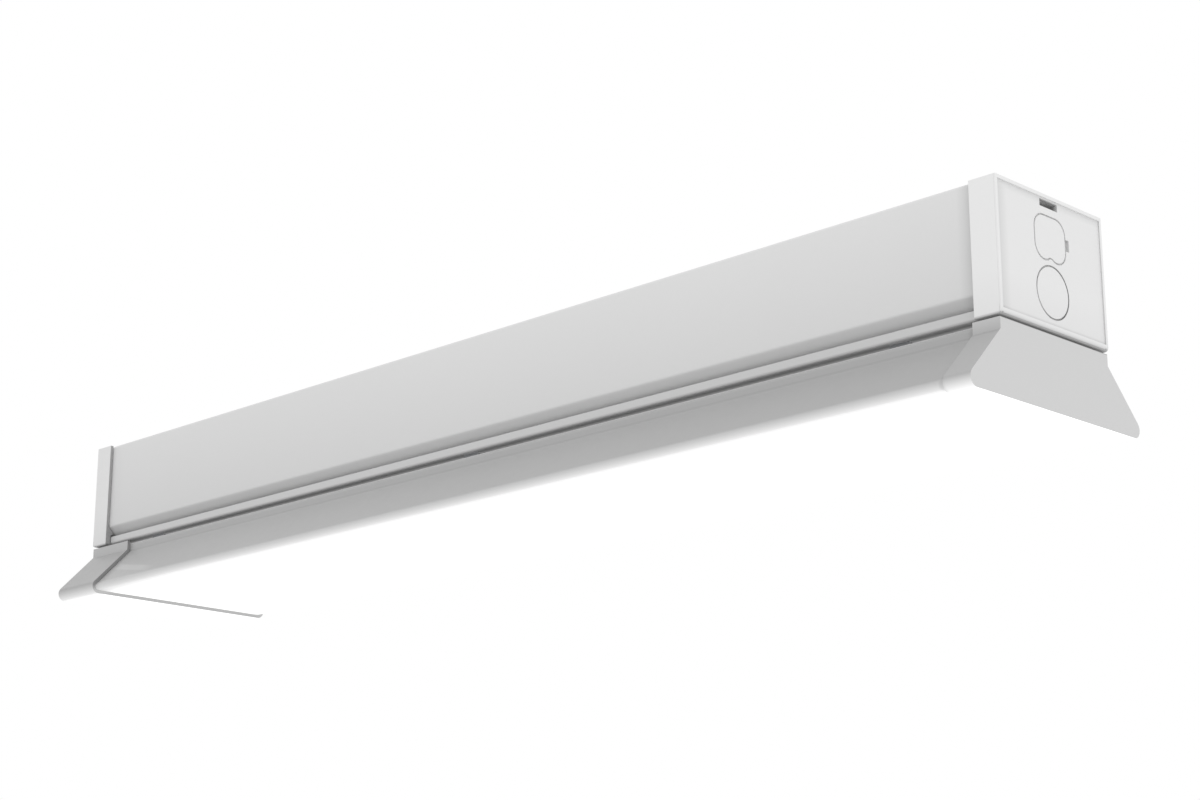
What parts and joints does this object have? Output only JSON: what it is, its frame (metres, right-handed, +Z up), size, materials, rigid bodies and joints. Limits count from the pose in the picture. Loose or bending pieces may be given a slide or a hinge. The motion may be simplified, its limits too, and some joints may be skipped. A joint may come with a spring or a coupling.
{
  "type": "linear ceiling strip light",
  "caption": "Lit ceiling strip light with folded steel channel, hinged gear tray, pull-off flared lens and plug-in end caps.",
  "frame": {"origin": "on the ceiling face, the flat top of the channel, at the middle of its length and width", "axes": "+Z up into the ceiling, +X along the light; the gear tray's hinges are on the +Y side"},
  "size_m": [0.61, 0.1138, 0.0886],
  "materials": {
    "channel_paint": "white powder coat, satin",
    "tray_paint": "white powder coat, satin",
    "cap_plastic": "white moulded plastic, fine texture",
    "zinc_steel": "zinc plated",
    "spring_steel": "bright spring steel",
    "driver_steel": "galvanised sheet",
    "green_board": "solder mask over glass laminate",
    "white_board": "white solder mask",
    "component_plastic": "transformer tape and film capacitors",
    "led_phosphor": "phosphor over a white package",
    "terminal_plastic": "pale grey moulded plastic",
    "orange_plastic": "orange moulded plastic",
    "green_plastic": "green moulded plastic",
    "green_screw": "green dyed steel",
    "lug_brass": "tinned brass",
    "green_insulation": "wire insulation",
    "black_insulation": "wire insulation",
    "white_insulation": "wire insulation",
    "red_insulation": "wire insulation",
    "blue_insulation": "wire insulation",
    "black_plastic": "black moulded plastic",
    "black_rubber": "rubber",
    "lens_acrylic": "frosted acrylic, lit from inside",
    "lens_cap_acrylic": "frosted acrylic moulding, lit from inside"
  },
  "bodies": {
    "housing": {"channel": "channel_paint", "hinge_leaves": "zinc_steel", "hinge_pins": "zinc_steel", "supply_bushing": "black_plastic"},
    "left_cap": {"left_end_cap": "cap_plastic"},
    "right_cap": {"right_end_cap": "cap_plastic"},
    "tray": {"gear_tray": "tray_paint", "tray_latches": "spring_steel", "latch_rivets": "zinc_steel", "driver_base": "driver_steel", "driver_case": "driver_steel", "driver_circuit_board": "green_board", "driver_components": "component_plastic", "driver_screws": "zinc_steel", "terminal_block": "terminal_plastic", "terminal_screws": "zinc_steel", "ground_screw": "green_screw", "ground_lug": "lug_brass", "ground_wire": "green_insulation", "line_wire": "black_insulation", "neutral_wire": "white_insulation", "wire_saddles": "terminal_plastic", "positive_lead": "red_insulation", "negative_lead": "blue_insulation", "wire_grommet": "black_rubber", "left_led_board": "white_board", "right_led_board": "white_board", "led_packages": "led_phosphor", "board_connector": "terminal_plastic", "board_bridge": "terminal_plastic", "board_screws": "zinc_steel", "lens_clips": "spring_steel", "lens_clip_rivets": "zinc_steel"},
    "lens": {"lens": "lens_acrylic", "left_lens_cap": "lens_cap_acrylic", "right_lens_cap": "lens_cap_acrylic"},
    "ground_lever": {"ground_lever": "green_plastic"},
    "line_lever": {"line_lever": "orange_plastic"},
    "neutral_lever": {"neutral_lever": "orange_plastic"}
  },
  "joints": [
    {"name": "tray_swing", "type": "hinge", "parent": "housing", "child": "tray", "pos_m": [0, 0.0344, -0.0513], "axis": [1, 0, 0], "range_deg": [0, 90]},
    {"name": "lens_release", "type": "slide", "parent": "tray", "child": "lens", "axis": [0, 0, -1], "range_m": [0, 0.06]},
    {"name": "left_cap_pull", "type": "slide", "parent": "housing", "child": "left_cap", "axis": [-1, 0, 0], "range_m": [0, 0.03]},
    {"name": "right_cap_pull", "type": "slide", "parent": "housing", "child": "right_cap", "axis": [1, 0, 0], "range_m": [0, 0.03]},
    {"name": "ground_lever_lift", "type": "hinge", "parent": "tray", "child": "ground_lever", "pos_m": [0.0975, -0.008, -0.0447], "axis": [0, 1, 0], "range_deg": [0, 85]},
    {"name": "line_lever_lift", "type": "hinge", "parent": "tray", "child": "line_lever", "pos_m": [0.0975, 0, -0.0447], "axis": [0, 1, 0], "range_deg": [0, 85]},
    {"name": "neutral_lever_lift", "type": "hinge", "parent": "tray", "child": "neutral_lever", "pos_m": [0.0975, 0.008, -0.0447], "axis": [0, 1, 0], "range_deg": [0, 85]}
  ]
}
